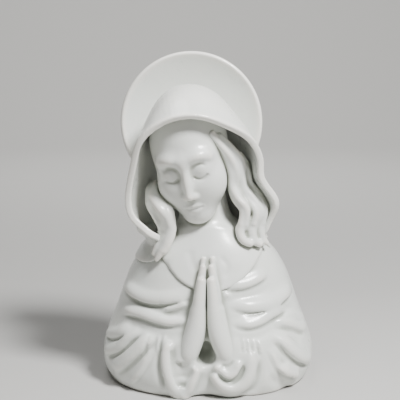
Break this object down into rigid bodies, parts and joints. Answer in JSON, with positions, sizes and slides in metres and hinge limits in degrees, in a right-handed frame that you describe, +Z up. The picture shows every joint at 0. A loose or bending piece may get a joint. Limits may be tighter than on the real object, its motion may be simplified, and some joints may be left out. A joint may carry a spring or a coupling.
{
  "type": "madonna statue",
  "caption": "White glazed ceramic bust of a praying Madonna with veil, loose hair, joined hands, draped mantle and a round dished halo.",
  "frame": {"origin": "on the surface that the figure stands on, under the middle of its overall box", "axes": "+Z up, the figure faces -Y, +X to the right of someone looking at its face"},
  "size_m": [0.141, 0.0919, 0.215],
  "materials": {
    "white_glaze": "satin to gloss white glaze over white earthenware",
    "white_glaze_head": "satin to gloss white glaze, thinner over the modelled face, neck and hands"
  },
  "bodies": {
    "root": {"robe_body": "white_glaze", "sleeve_left": "white_glaze", "sleeve_right": "white_glaze", "hand_left": "white_glaze_head", "hand_right": "white_glaze_head", "neck_and_chest": "white_glaze_head", "head": "white_glaze_head", "hair_left": "white_glaze_head", "hair_right": "white_glaze_head", "veil": "white_glaze", "halo": "white_glaze"}
  },
  "joints": []
}
